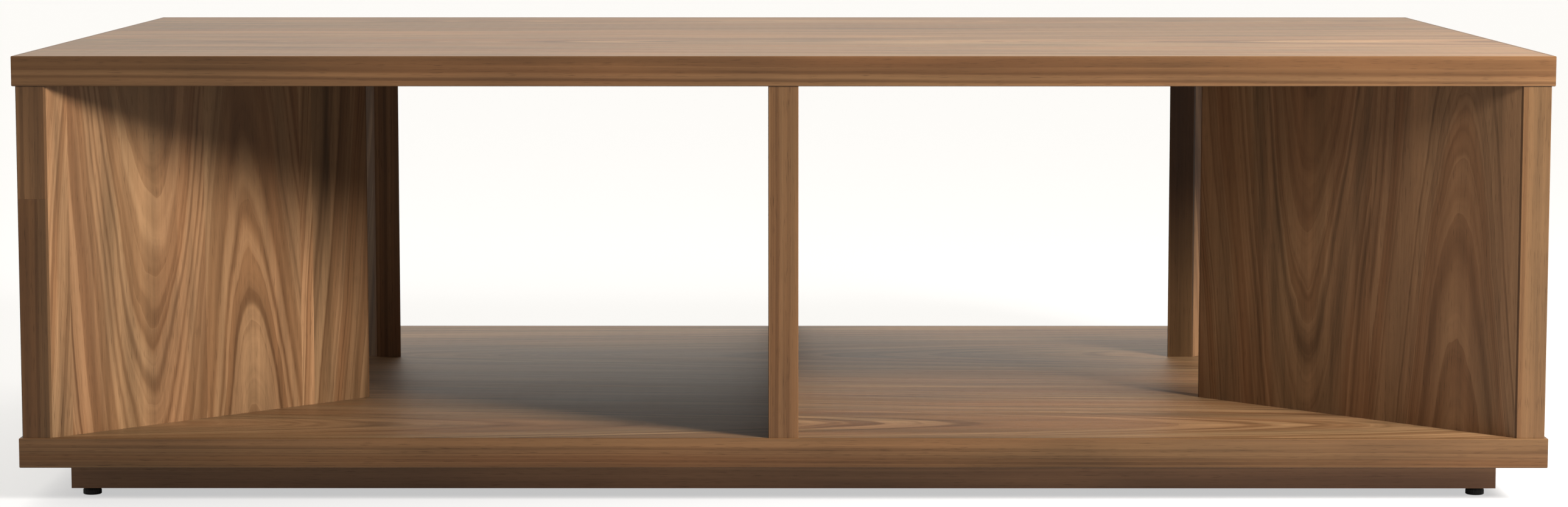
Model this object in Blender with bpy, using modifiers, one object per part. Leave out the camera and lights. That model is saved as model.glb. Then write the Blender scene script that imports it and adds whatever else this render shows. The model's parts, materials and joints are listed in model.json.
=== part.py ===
"""A low open storage unit in walnut: two slabs held apart by four diagonal corner wings and a
full-depth divider, standing on a recessed plinth with four levelling feet.

Metres, +Z up. The origin is on the floor, in the middle of the footprint. The front faces -Y.
"""

import math

import bmesh
import bpy
from mathutils import Matrix

# Driving dimensions of the case
WIDTH = 1.372
DEPTH = 0.814
BOARD = 0.027            # thickness of both slabs and of the divider
CLEAR_HEIGHT = 0.316     # between the two slabs
PLINTH_HEIGHT = 0.025
FOOT_HEIGHT = 0.0075     # the plinth stands this far off the floor
GAP = 0.0003             # left between neighbouring pieces

# Corner wings: 19 mm boards standing at 45 degrees, both ends cut parallel to the front
WING_THICKNESS = 0.019
WING_CUT = WING_THICKNESS * math.sqrt(2)      # width of a wing's end, seen square on
WING_RUN = 0.259         # how far a wing travels inward, and as far back
SETBACK = 0.0015         # uprights stand this far inside the slabs' edges
UPRIGHT_ARRIS = 0.0008

# Solid lippings round the slabs
LIPPING = 0.004
LIPPING_ROUND = 0.001

# Plinth frame
PLINTH_INSET = 0.039
RAIL_WIDTH = 0.032
RAIL_ARRIS = 0.0006
GLUE_BLOCK_LEG = 0.036

# Levelling feet: a swivelling pad, its stud, and the insert that the stud screws into
PAD_RADIUS = 0.0085
PAD_TOP_EDGE = 0.0004
PAD_BOTTOM_EDGE = 0.0010
FOOT_INSET = RAIL_WIDTH / 2
STUD_RADIUS = 0.003
STUD_TOP = 0.0275
STUD_CHAMFER = 0.0006
FLANGE_RADIUS = 0.005
FLANGE_BOTTOM = 0.002
FLANGE_TOP = 0.004
INSERT_RADIUS = 0.005
INSERT_RIM_RADIUS = 0.0065
INSERT_RIM = 0.0015
INSERT_LENGTH = 0.013
INSERT_RECESS = 0.0001

# Fasteners; a screw is (head radius, head depth, shank radius, length)
DOWEL_RADIUS = 0.004
DOWEL_LENGTH = 0.028
DOWEL_CHAMFER = 0.0008
DOWEL_IN_SLAB = 0.012
CASE_SCREW = (0.005, 0.003, 0.0033, 0.050)
PLINTH_SCREW = (0.0045, 0.0026, 0.00225, 0.040)
HEAD_RIM = 0.0006
PLINTH_SCREW_X = 0.300
WING_JOINTS = {"outer": 0.15, "inner": 0.85}  # where a wing's joints sit along its length
DIVIDER_JOINT_INSET = 0.080

# Levels, from the floor up
PLINTH_BOTTOM = FOOT_HEIGHT
SLAB_BOTTOM = PLINTH_BOTTOM + PLINTH_HEIGHT
FLOOR_TOP = SLAB_BOTTOM + BOARD
CEILING = FLOOR_TOP + CLEAR_HEIGHT

# Working values
ROUND_SEGMENTS = 12
PAD_SEGMENTS = 24
BREAKTHROUGH = 0.001     # how far a cutter passes the face that it opens
SAME_PLACE = 1e-6

ENDS = {"front": -1, "rear": 1}
SIDES = {"left": -1, "right": 1}
CORNERS = {
    f"{end}_{side}": (side_sign, end_sign)
    for end, end_sign in ENDS.items()
    for side, side_sign in SIDES.items()
}


# ---------------------------------------------------------------- scene and materials

def clear_scene():
    for item in list(bpy.data.objects):
        bpy.data.objects.remove(item, do_unlink=True)


def new_collection(name):
    collection = bpy.data.collections.new(name)
    bpy.context.scene.collection.children.link(collection)
    return collection


def new_material(name, color, roughness, metallic=0.0):
    material = bpy.data.materials.new(name)
    material.use_nodes = True
    shader = material.node_tree.nodes["Principled BSDF"]
    shader.inputs["Base Color"].default_value = (*color, 1.0)
    shader.inputs["Roughness"].default_value = roughness
    shader.inputs["Metallic"].default_value = metallic
    material.diffuse_color = (*color, 1.0)
    return material


clear_scene()
unit = new_collection("open_storage_unit")
cutters = new_collection("cutters")

veneer = new_material("walnut_veneer", (0.27, 0.15, 0.075), 0.42)
lipping_wood = new_material("walnut_lipping", (0.20, 0.105, 0.052), 0.45)
stained_wood = new_material("stained_plinth", (0.05, 0.025, 0.012), 0.5)
pale_wood = new_material("beech", (0.55, 0.37, 0.21), 0.65)
black_plastic = new_material("black_plastic", (0.012, 0.012, 0.013), 0.45)
zinc = new_material("zinc_plated_steel", (0.55, 0.55, 0.56), 0.35, 1.0)


# ---------------------------------------------------------------- shape helpers

def add_piece(name, mesh, material, location=(0, 0, 0)):
    """Links one named piece of the unit."""
    if material.name not in mesh.materials:
        mesh.materials.append(material)
    piece = bpy.data.objects.new(name, mesh)
    piece.location = location
    unit.objects.link(piece)
    return piece


def add_cutter(name, mesh, location):
    """Links a guide body that is taken out of other pieces and is never part of the unit."""
    cutter = bpy.data.objects.new(name, mesh)
    cutter.location = location
    cutter.display_type = "WIRE"
    cutter.hide_render = True
    cutters.objects.link(cutter)
    return cutter


def cut(target, cutter):
    modifier = target.modifiers.new("cut_" + cutter.name, "BOOLEAN")
    modifier.operation = "DIFFERENCE"
    modifier.solver = "EXACT"
    modifier.object = cutter


def ease_edges(piece, width, segments):
    bevel = piece.modifiers.new("eased_arris", "BEVEL")
    bevel.width = width
    bevel.segments = segments
    bevel.limit_method = "ANGLE"
    bevel.angle_limit = math.radians(30)


def evaluated_mesh(holder, name):
    """The mesh that a temporary object evaluates to; the temporary object is removed."""
    bpy.context.scene.collection.objects.link(holder)
    evaluated = holder.evaluated_get(bpy.context.evaluated_depsgraph_get())
    mesh = bpy.data.meshes.new_from_object(evaluated)
    mesh.name = name
    bpy.data.objects.remove(holder, do_unlink=True)
    welded = bmesh.new()
    welded.from_mesh(mesh)
    bmesh.ops.remove_doubles(welded, verts=welded.verts, dist=SAME_PLACE)
    welded.to_mesh(mesh)
    welded.free()
    return mesh


def box_mesh(name, size):
    """A box of the given size, centred on its own origin."""
    cube = bmesh.new()
    bmesh.ops.create_cube(cube, size=1.0, matrix=Matrix.Diagonal((*size, 1.0)))
    mesh = bpy.data.meshes.new(name)
    cube.to_mesh(mesh)
    cube.free()
    return mesh


def plate_mesh(name, outline, thickness):
    """A flat outline, thickened equally above and below its own plane."""
    curve = bpy.data.curves.new(name, "CURVE")
    curve.dimensions = "2D"
    curve.fill_mode = "BOTH"
    curve.extrude = thickness / 2
    spline = curve.splines.new("POLY")
    spline.points.add(len(outline) - 1)
    for point, (x, y) in zip(spline.points, outline):
        point.co = (x, y, 0.0, 1.0)
    spline.use_cyclic_u = True
    mesh = evaluated_mesh(bpy.data.objects.new(name, curve), name)
    bpy.data.curves.remove(curve)
    return mesh


def turned_mesh(name, profile, closed=False, segments=ROUND_SEGMENTS):
    """A profile of (radius, height) points turned about Z; it runs down the outer side."""
    line = bpy.data.meshes.new(name + "_profile")
    points = [(radius, 0.0, height) for radius, height in profile]
    edges = [(i, i + 1) for i in range(len(points) - 1)]
    if closed:
        edges.append((len(points) - 1, 0))
    line.from_pydata(points, edges, [])
    holder = bpy.data.objects.new(name, line)
    screw = holder.modifiers.new("turn", "SCREW")
    screw.axis = "Z"
    screw.angle = math.tau
    screw.steps = segments
    screw.render_steps = segments
    screw.use_merge_vertices = True
    screw.merge_threshold = SAME_PLACE
    mesh = evaluated_mesh(holder, name)
    bpy.data.meshes.remove(line)
    mesh.shade_smooth()
    mesh.set_sharp_from_angle(angle=math.radians(35))
    return mesh


def rod_profile(radius, bottom, top, chamfer):
    """A plain round rod with both ends chamfered."""
    return [
        (0.0, top),
        (radius - chamfer, top),
        (radius, top - chamfer),
        (radius, bottom + chamfer),
        (radius - chamfer, bottom),
        (0.0, bottom),
    ]


def screw_profile(head_radius, head_depth, radius, length):
    """A countersunk screw, head down at height 0 and point up."""
    return [
        (0.0, length),
        (radius, length - 2 * radius),
        (radius, head_depth),
        (head_radius, HEAD_RIM),
        (head_radius, 0.0),
        (0.0, 0.0),
    ]


def screw_bore_profile(head_radius, head_depth, radius, length):
    """The bore that such a screw sits in, with a gap all round, open below the head."""
    return [
        (0.0, length + GAP),
        (radius + GAP, length - 2 * radius + GAP),
        (radius + GAP, head_depth + GAP),
        (head_radius + GAP, HEAD_RIM + GAP),
        (head_radius + GAP, -BREAKTHROUGH),
        (0.0, -BREAKTHROUGH),
    ]


# ---------------------------------------------------------------- slabs and lippings

def lipping_mesh(name, length):
    """A strip along X, outer face toward -Y, both ends mitred, its long outer edges rounded.

    Its origin is at the middle of the outer face.
    """
    strip = bmesh.new()
    bmesh.ops.create_cube(strip, size=1.0, matrix=Matrix.Diagonal((length, LIPPING, BOARD, 1.0)))
    for vert in strip.verts:
        vert.co.y += LIPPING / 2
        if vert.co.y > LIPPING / 2:
            vert.co.x -= math.copysign(LIPPING, vert.co.x)
    outer_long_edges = [
        edge for edge in strip.edges
        if all(abs(vert.co.y) < SAME_PLACE for vert in edge.verts)
        and abs(edge.verts[0].co.z - edge.verts[1].co.z) < SAME_PLACE
    ]
    bmesh.ops.bevel(
        strip, geom=outer_long_edges, offset=LIPPING_ROUND, segments=3, profile=0.5, affect="EDGES"
    )
    mesh = bpy.data.meshes.new(name)
    strip.to_mesh(mesh)
    strip.free()
    return mesh


def add_slab(name, bottom):
    """One veneered slab with its four lippings; returns the slab's own board."""
    middle = bottom + BOARD / 2
    lipped = 2 * (LIPPING + GAP)
    board = box_mesh(f"{name}_panel", (WIDTH - lipped, DEPTH - lipped, BOARD))
    panel = add_piece(f"{name}_panel", board, veneer, (0, 0, middle))
    long_strip = lipping_mesh(f"{name}_long_lipping", WIDTH - 2 * GAP)
    short_strip = lipping_mesh(f"{name}_short_lipping", DEPTH - 2 * GAP)
    for end, sign in ENDS.items():
        place = (0, sign * DEPTH / 2, middle)
        strip = add_piece(f"{name}_lipping_{end}", long_strip, lipping_wood, place)
        strip.rotation_euler.z = 0.0 if sign < 0 else math.pi
    for side, sign in SIDES.items():
        place = (sign * WIDTH / 2, 0, middle)
        strip = add_piece(f"{name}_lipping_{side}", short_strip, lipping_wood, place)
        strip.rotation_euler.z = sign * math.pi / 2
    return panel


top_panel = add_slab("top", CEILING)
bottom_panel = add_slab("bottom", SLAB_BOTTOM)


# ---------------------------------------------------------------- uprights

UPRIGHT_HEIGHT = CLEAR_HEIGHT - 2 * GAP
UPRIGHT_MIDDLE = FLOOR_TOP + CLEAR_HEIGHT / 2
WING_OUTER = WIDTH / 2 - SETBACK
WING_EDGE = DEPTH / 2 - SETBACK


def wing_outline(side_sign, end_sign):
    """Plan of a wing: from the outer corner it runs inward and toward the middle of the depth."""
    corners = [
        (WING_OUTER - WING_CUT, WING_EDGE),
        (WING_OUTER, WING_EDGE),
        (WING_OUTER - WING_RUN, WING_EDGE - WING_RUN),
        (WING_OUTER - WING_CUT - WING_RUN, WING_EDGE - WING_RUN),
    ]
    return [(side_sign * x, end_sign * y) for x, y in corners]


def wing_joint(side_sign, end_sign, share):
    """A point on the middle line of a wing's thickness, at a share of its length."""
    travel = share * WING_RUN
    return (side_sign * (WING_OUTER - WING_CUT / 2 - travel), end_sign * (WING_EDGE - travel))


uprights = {}       # name: (its object, {name of a joint: its place in plan})
for corner, signs in CORNERS.items():
    name = f"wing_{corner}"
    outline_mesh = plate_mesh(name, wing_outline(*signs), UPRIGHT_HEIGHT)
    wing = add_piece(name, outline_mesh, veneer, (0, 0, UPRIGHT_MIDDLE))
    ease_edges(wing, UPRIGHT_ARRIS, 2)
    joints = {joint: wing_joint(*signs, share) for joint, share in WING_JOINTS.items()}
    uprights[corner] = (wing, joints)

divider_mesh = box_mesh("center_divider", (BOARD, DEPTH - 2 * SETBACK, UPRIGHT_HEIGHT))
divider = add_piece("center_divider", divider_mesh, veneer, (0, 0, UPRIGHT_MIDDLE))
ease_edges(divider, UPRIGHT_ARRIS, 2)
divider_joints = {end: (0.0, sign * (DEPTH / 2 - DIVIDER_JOINT_INSET)) for end, sign in ENDS.items()}
uprights["divider"] = (divider, divider_joints)


# ---------------------------------------------------------------- case joints

DOWEL_BOTTOM = CEILING + DOWEL_IN_SLAB - DOWEL_LENGTH
CASE_SCREW_LEVEL = SLAB_BOTTOM + GAP

dowel_mesh = turned_mesh("dowel", rod_profile(DOWEL_RADIUS, 0.0, DOWEL_LENGTH, DOWEL_CHAMFER))
dowel_bore = turned_mesh(
    "dowel_bore", rod_profile(DOWEL_RADIUS + GAP, -GAP, DOWEL_LENGTH + GAP, DOWEL_CHAMFER)
)
case_screw_mesh = turned_mesh("case_screw", screw_profile(*CASE_SCREW))
case_screw_bore = turned_mesh("case_screw_bore", screw_bore_profile(*CASE_SCREW))

for upright_name, (upright, joints) in uprights.items():
    for joint, (x, y) in joints.items():
        label = f"{upright_name}_{joint}"
        place = (x, y, DOWEL_BOTTOM)
        add_piece(f"dowel_{label}", dowel_mesh, pale_wood, place)
        bore = add_cutter(f"dowel_bore_{label}", dowel_bore, place)
        cut(top_panel, bore)
        cut(upright, bore)
        place = (x, y, CASE_SCREW_LEVEL)
        add_piece(f"case_screw_{label}", case_screw_mesh, zinc, place)
        bore = add_cutter(f"case_screw_bore_{label}", case_screw_bore, place)
        cut(bottom_panel, bore)
        cut(upright, bore)


# ---------------------------------------------------------------- plinth frame

RAIL_HEIGHT = PLINTH_HEIGHT - GAP
RAIL_MIDDLE = PLINTH_BOTTOM + RAIL_HEIGHT / 2
PLINTH_WIDTH = WIDTH - 2 * PLINTH_INSET
PLINTH_DEPTH = DEPTH - 2 * PLINTH_INSET
SIDE_RAIL_LENGTH = PLINTH_DEPTH - 2 * (RAIL_WIDTH + GAP)


def add_rail(name, size, x, y):
    mesh = box_mesh(name, (*size, RAIL_HEIGHT))
    rail = add_piece(name, mesh, stained_wood, (x, y, RAIL_MIDDLE))
    ease_edges(rail, RAIL_ARRIS, 1)
    return rail


long_rails = {}
for end, sign in ENDS.items():
    y = sign * (PLINTH_DEPTH - RAIL_WIDTH) / 2
    long_rails[end] = add_rail(f"plinth_rail_{end}", (PLINTH_WIDTH, RAIL_WIDTH), 0, y)
for side, sign in SIDES.items():
    x = sign * (PLINTH_WIDTH - RAIL_WIDTH) / 2
    add_rail(f"plinth_rail_{side}", (RAIL_WIDTH, SIDE_RAIL_LENGTH), x, 0)
add_rail("plinth_cross_rail", (RAIL_WIDTH, SIDE_RAIL_LENGTH), 0, 0)


def glue_block_outline(side_sign, end_sign):
    """A right triangle that fills an inner corner of the frame."""
    corner_x = PLINTH_WIDTH / 2 - RAIL_WIDTH - GAP
    corner_y = PLINTH_DEPTH / 2 - RAIL_WIDTH - GAP
    corners = [
        (corner_x, corner_y),
        (corner_x - GLUE_BLOCK_LEG, corner_y),
        (corner_x, corner_y - GLUE_BLOCK_LEG),
    ]
    return [(side_sign * x, end_sign * y) for x, y in corners]


plinth_screw_mesh = turned_mesh("plinth_screw", screw_profile(*PLINTH_SCREW))
plinth_screw_bore = turned_mesh("plinth_screw_bore", screw_bore_profile(*PLINTH_SCREW))

for corner, (side_sign, end_sign) in CORNERS.items():
    name = f"glue_block_{corner}"
    block = plate_mesh(name, glue_block_outline(side_sign, end_sign), RAIL_HEIGHT - 2 * GAP)
    add_piece(name, block, pale_wood, (0, 0, RAIL_MIDDLE))
    rail_line = (PLINTH_DEPTH - RAIL_WIDTH) / 2
    place = (side_sign * PLINTH_SCREW_X, end_sign * rail_line, PLINTH_BOTTOM + GAP)
    add_piece(f"plinth_screw_{corner}", plinth_screw_mesh, zinc, place)
    bore = add_cutter(f"plinth_screw_bore_{corner}", plinth_screw_bore, place)
    cut(long_rails[corner.split("_")[0]], bore)
    cut(bottom_panel, bore)


# ---------------------------------------------------------------- levelling feet

PAD_HEIGHT = FOOT_HEIGHT - GAP
POCKET_RADIUS = FLANGE_RADIUS + GAP
NECK_RADIUS = STUD_RADIUS + GAP
INSERT_BOTTOM = PLINTH_BOTTOM + INSERT_RECESS
INSERT_TOP = INSERT_BOTTOM + INSERT_LENGTH
STUD_BORE_TOP = STUD_TOP + BREAKTHROUGH


def pad_profile():
    """A round pad with a pocket for the stud's flange, open through a narrower neck."""
    return [
        (0.0, FLANGE_BOTTOM - GAP),
        (POCKET_RADIUS, FLANGE_BOTTOM - GAP),
        (POCKET_RADIUS, FLANGE_TOP + GAP),
        (NECK_RADIUS, FLANGE_TOP + GAP),
        (NECK_RADIUS, PAD_HEIGHT),
        (PAD_RADIUS - PAD_TOP_EDGE, PAD_HEIGHT),
        (PAD_RADIUS, PAD_HEIGHT - PAD_TOP_EDGE),
        (PAD_RADIUS, PAD_BOTTOM_EDGE),
        (PAD_RADIUS - PAD_BOTTOM_EDGE, 0.0),
        (0.0, 0.0),
    ]


def stud_profile():
    """A stud with a flange at its foot, which the pad turns on."""
    return [
        (0.0, STUD_TOP),
        (STUD_RADIUS - STUD_CHAMFER, STUD_TOP),
        (STUD_RADIUS, STUD_TOP - STUD_CHAMFER),
        (STUD_RADIUS, FLANGE_TOP),
        (FLANGE_RADIUS, FLANGE_TOP),
        (FLANGE_RADIUS, FLANGE_BOTTOM),
        (0.0, FLANGE_BOTTOM),
    ]


def insert_outside(grow):
    """The insert's outer side down to its rim; grow widens it into its own bore."""
    return [
        (INSERT_RADIUS + grow, INSERT_TOP + grow),
        (INSERT_RADIUS + grow, INSERT_BOTTOM + INSERT_RIM + grow),
        (INSERT_RIM_RADIUS + grow, INSERT_BOTTOM + INSERT_RIM + grow),
    ]


def insert_profile():
    """A flanged sleeve; its bore clears the stud."""
    rest = [
        (INSERT_RIM_RADIUS, INSERT_BOTTOM),
        (NECK_RADIUS, INSERT_BOTTOM),
        (NECK_RADIUS, INSERT_TOP),
    ]
    return insert_outside(0.0) + rest


def foot_bore_profile():
    """The stepped bore in a rail: rim, sleeve, then a narrow hole for the stud's end."""
    upper = [
        (0.0, STUD_BORE_TOP),
        (NECK_RADIUS, STUD_BORE_TOP),
        (NECK_RADIUS, INSERT_TOP + GAP),
    ]
    mouth = [
        (INSERT_RIM_RADIUS + GAP, PLINTH_BOTTOM - BREAKTHROUGH),
        (0.0, PLINTH_BOTTOM - BREAKTHROUGH),
    ]
    return upper + insert_outside(GAP) + mouth


pad_mesh = turned_mesh("foot_pad", pad_profile(), segments=PAD_SEGMENTS)
stud_mesh = turned_mesh("foot_stud", stud_profile())
insert_mesh = turned_mesh("foot_insert", insert_profile(), closed=True)
foot_bore = turned_mesh("foot_bore", foot_bore_profile())

for corner, (side_sign, end_sign) in CORNERS.items():
    x = side_sign * (PLINTH_WIDTH / 2 - FOOT_INSET)
    y = end_sign * (PLINTH_DEPTH / 2 - FOOT_INSET)
    place = (x, y, 0.0)
    add_piece(f"foot_pad_{corner}", pad_mesh, black_plastic, place)
    add_piece(f"foot_stud_{corner}", stud_mesh, zinc, place)
    add_piece(f"foot_insert_{corner}", insert_mesh, zinc, place)
    bore = add_cutter(f"foot_bore_{corner}", foot_bore, place)
    cut(long_rails[corner.split("_")[0]], bore)
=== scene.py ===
# %% [markdown]
# # A low open storage unit in walnut veneer
# The unit is two thick slabs held apart by four diagonal wings and one
# divider. It stands on a recessed plinth with four levelling feet.
# Every board here is a surface worked out with numpy around the fixed frame,
# so each one gets soft edges and knows which way its grain runs.

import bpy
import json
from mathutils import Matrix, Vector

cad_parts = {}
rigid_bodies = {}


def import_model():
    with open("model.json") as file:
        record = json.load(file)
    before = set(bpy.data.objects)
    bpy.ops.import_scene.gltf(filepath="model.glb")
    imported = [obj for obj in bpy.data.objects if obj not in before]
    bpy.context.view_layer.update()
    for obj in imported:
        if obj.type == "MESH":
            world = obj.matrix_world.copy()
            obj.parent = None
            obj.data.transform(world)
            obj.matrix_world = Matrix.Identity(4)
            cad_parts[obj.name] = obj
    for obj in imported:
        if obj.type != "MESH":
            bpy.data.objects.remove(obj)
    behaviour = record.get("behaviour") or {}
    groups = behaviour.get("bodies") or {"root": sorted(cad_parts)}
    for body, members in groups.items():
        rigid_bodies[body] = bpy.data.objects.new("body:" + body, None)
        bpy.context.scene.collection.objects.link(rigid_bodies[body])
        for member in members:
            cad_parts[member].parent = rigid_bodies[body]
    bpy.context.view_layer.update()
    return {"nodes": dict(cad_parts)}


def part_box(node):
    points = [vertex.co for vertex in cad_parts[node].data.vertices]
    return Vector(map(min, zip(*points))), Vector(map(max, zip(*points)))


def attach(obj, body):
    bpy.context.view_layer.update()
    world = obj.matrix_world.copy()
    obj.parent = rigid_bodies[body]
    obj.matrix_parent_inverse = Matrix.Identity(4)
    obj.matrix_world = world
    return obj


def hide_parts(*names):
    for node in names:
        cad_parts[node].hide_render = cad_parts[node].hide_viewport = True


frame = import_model()

# %% Tools of the trade
import json
import math
from collections import namedtuple

import bpy
import numpy as np
from mathutils import Vector

SIDES = {"left": -1, "right": 1}
ENDS = {"front": -1, "rear": 1}
CORNERS = [
    (f"{end}_{side}", SIDES[side], ENDS[end]) for end in ENDS for side in SIDES
]
print("corners:", [name for name, _, _ in CORNERS])

# %% [markdown]
# ## The camera
# Furniture like this is pictured nearly square on, from far enough away that
# the long front stays straight. A long lens from 3.3 m in front of the unit,
# a little above its top, shows a sliver of the top and most of the floor of
# the bays.

# %% Camera
CAMERA_PLACE = (0.0044, -3.727, 0.577)
CAMERA_DOWN = math.radians(6.03)
CAMERA_LENS = 85.9
CAMERA_TURN = 0.00115
SENSOR_WIDTH = 36.0

camera_data = bpy.data.cameras.new("camera")
camera_data.sensor_width = SENSOR_WIDTH
camera_data.lens = CAMERA_LENS
camera = bpy.data.objects.new("camera", camera_data)
camera.location = CAMERA_PLACE
camera.rotation_euler = (math.radians(90) - CAMERA_DOWN, 0, CAMERA_TURN)
bpy.context.scene.collection.objects.link(camera)
bpy.context.scene.camera = camera
print("camera at", CAMERA_PLACE, "lens", CAMERA_LENS)

# %% [markdown]
# ## Outlines with soft edges
# A joiner never leaves a board's edge sharp: a few strokes of abrasive round
# every arris. Here a board starts as a closed outline whose straight sides
# are joined by small arcs. Each short stretch of the outline also keeps how
# far along its own side it lies, because veneer is laid side by side.

# %% Outline of a board's section
Section = namedtuple("Section", "points start_normals end_normals side start end worn")
WORN_MARGIN = 0.0012
ARC_STEPS = 4


def section(corners, radii, seams=None):
    """A closed outline, anticlockwise, from its corners and their radii.

    A corner that turns through an angle t and has radius r begins its arc
    r * tan(t / 2) before the corner. A point on the arc is the arc's centre
    plus r times the outward normal, and that normal turns evenly through t.
    seams gives, for a side's number, the distances where veneer leaves meet.
    """
    corners = np.asarray(corners, float)
    radii = np.broadcast_to(np.asarray(radii, float), len(corners))
    runs = np.roll(corners, -1, axis=0) - corners
    lengths = np.linalg.norm(runs, axis=1)
    along = runs / lengths[:, None]
    outward = np.stack([along[:, 1], -along[:, 0]], axis=1)
    before = np.roll(along, 1, axis=0)
    turns = np.arctan2(
        before[:, 0] * along[:, 1] - before[:, 1] * along[:, 0],
        (before * along).sum(axis=1),
    )
    set_back = radii * np.tan(turns / 2)
    parts = []
    for side, length in enumerate(lengths):
        after = (side + 1) % len(corners)
        first, last = set_back[side], length - set_back[after]
        stops = [first, first + WORN_MARGIN, last - WORN_MARGIN, last]
        stops += list((seams or {}).get(side, []))
        stops = np.unique(np.clip(stops, first, last))
        edge = np.isin(stops, [first, last]) * 1.0
        flat = corners[side] + along[side] * stops[:, None]
        normal = np.repeat(outward[side][None], len(stops), axis=0)
        parts.append((flat, normal, np.full(len(stops) - 1, side),
                      stops[:-1], stops[1:], edge))
        if radii[after] == 0:
            continue
        swing = np.linspace(0, turns[after], ARC_STEPS + 1)
        cos, sin = np.cos(swing), np.sin(swing)
        turned = np.stack([
            outward[side][0] * cos - outward[side][1] * sin,
            outward[side][0] * sin + outward[side][1] * cos], axis=1)
        centre = flat[-1] - outward[side] * radii[after]
        reach = radii[after] * swing
        ahead = np.arange(ARC_STEPS) * 2 >= ARC_STEPS
        offset = np.where(ahead, set_back[after] - reach[-1], last)
        parts.append((centre + turned * radii[after], turned,
                      np.where(ahead, after, side),
                      reach[:-1] + offset, reach[1:] + offset,
                      np.ones(ARC_STEPS + 1)))
    return Section(
        np.concatenate([p[0][:-1] for p in parts]),
        np.concatenate([p[1][:-1] for p in parts]),
        np.concatenate([p[1][1:] for p in parts]),
        np.concatenate([p[2] for p in parts]),
        np.concatenate([p[3] for p in parts]),
        np.concatenate([p[4] for p in parts]),
        np.concatenate([np.stack([p[5][:-1], p[5][1:]], axis=1) for p in parts]),
    )


sample = section([(0, 0), (1, 0), (1, 1), (0, 1)], 0.1)
print("a square with soft corners has", len(sample.points), "points")

# %% [markdown]
# ## Boards with veneer leaves
# A veneered board is covered with leaves a hand or two wide, cut one after
# another from the same log and laid edge to edge. Each leaf therefore has its
# own figure, its own tone and a fine seam on either side. The outline is
# carried along the grain, and every face notes where it lies on its leaf:
# the distance from the heart of the figure and the distance along the grain.

# %% Leaves
Leaf = namedtuple("Leaf", "start centre depth rise lean tone")
PLAIN = [Leaf(-1.0, -0.35, 0.12, 0.0, 1, 0.0)]
AXES = {  # the section's two directions, then the direction it is carried in
    "x": ((0, 1, 0), (0, 0, 1), (1, 0, 0)),
    "y": ((0, 0, 1), (1, 0, 0), (0, 1, 0)),
    "z": ((1, 0, 0), (0, 1, 0), (0, 0, 1)),
}
SEED_STEP = 1.37  # how far apart the figures of two leaves lie in the noise
SEED_SPAN = 41
leaf_count = 0


def leaf_table(leaves_by_side, cut):
    """One row for each stretch of the outline: which leaf covers it."""
    global leaf_count
    rows = np.zeros((len(cut.side), 6))
    middle = (cut.start + cut.end) / 2
    for side in np.unique(cut.side):
        for leaf in leaves_by_side.get(int(side), PLAIN):
            leaf_count += 1
            here = (cut.side == side) & (middle >= leaf.start)
            rows[here] = (leaf.centre, leaf.rise, leaf.lean,
                          leaf_count * SEED_STEP % SEED_SPAN, leaf.tone, leaf.depth)
    return rows


def board(name, cut, axis, low, high, leaves_by_side=None):
    """A board: an outline carried along one axis between two ends.

    A point is a * across + b * up + s * along, with (a, b) on the outline and
    s running from low to high. low and high may differ from point to point,
    which is how a mitred end is cut.
    """
    across, up, along = (np.array(v, float) for v in AXES[axis])
    count = len(cut.points)
    low = np.broadcast_to(np.asarray(low, float), count)
    high = np.broadcast_to(np.asarray(high, float), count)
    flat = cut.points[:, :1] * across + cut.points[:, 1:] * up
    places = np.concatenate([flat + low[:, None] * along,
                             flat + high[:, None] * along])
    here = np.arange(count)
    after = np.roll(here, -1)
    walls = np.stack([here, after, after + count, here + count], axis=1)
    mesh = bpy.data.meshes.new(name)
    mesh.from_pydata(places.tolist(), [], walls.tolist()
                     + [here[::-1].tolist(), (here + count).tolist()])

    rows = leaf_table(leaves_by_side or {}, cut)
    across_leaf = np.stack([cut.start, cut.end, cut.end, cut.start], axis=1)
    across_leaf = across_leaf - rows[:, :1]
    along_leaf = np.stack([low, low[after], high[after], high], axis=1)
    along_leaf = (along_leaf - rows[:, 1:2]) * rows[:, 2:3]
    cap_u = np.concatenate([cut.points[::-1, 0], cut.points[:, 0]])
    cap_v = np.concatenate([cut.points[::-1, 1], cut.points[:, 1]])
    figure = np.stack([np.append(across_leaf.ravel(), cap_u),
                       np.append(along_leaf.ravel(), cap_v)], axis=1)
    mesh.uv_layers.new(name="figure").data.foreach_set(
        "uv", figure.ravel().astype(np.float32))
    leaf = np.concatenate([np.repeat(rows[:, 3:6], 4, axis=0),
                           np.tile(rows[:1, 3:6], (2 * count, 1))])
    mesh.attributes.new("leaf", "FLOAT_VECTOR", "CORNER").data.foreach_set(
        "vector", leaf.ravel().astype(np.float32))
    worn = np.append(cut.worn[:, [0, 1, 1, 0]].ravel(), np.ones(2 * count))
    mesh.attributes.new("worn", "FLOAT", "CORNER").data.foreach_set(
        "value", worn.astype(np.float32))

    def lifted(normals):
        return normals[:, :1] * across + normals[:, 1:] * up

    starts, ends = lifted(cut.start_normals), lifted(cut.end_normals)
    normals = np.stack([starts, ends, ends, starts], axis=1).reshape(-1, 3)
    caps = np.array([p.normal for p in mesh.polygons[-2:]])
    normals = np.concatenate([normals, np.repeat(caps, count, axis=0)])
    mesh.polygons.foreach_set("use_smooth", [True] * len(mesh.polygons))
    mesh.normals_split_custom_set(normals.tolist())
    piece = bpy.data.objects.new(name, mesh)
    bpy.context.scene.collection.objects.link(piece)
    return piece


def fit(piece, body, slot, material, *nodes):
    """Fixes a finished piece to its body, gives it its material and hides the frame
    parts it replaces.
    """
    piece.data.materials.append(material)
    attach(piece, body)
    if nodes:
        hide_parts(*nodes)


print("a leaf is told by its", ", ".join(Leaf._fields))

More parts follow.
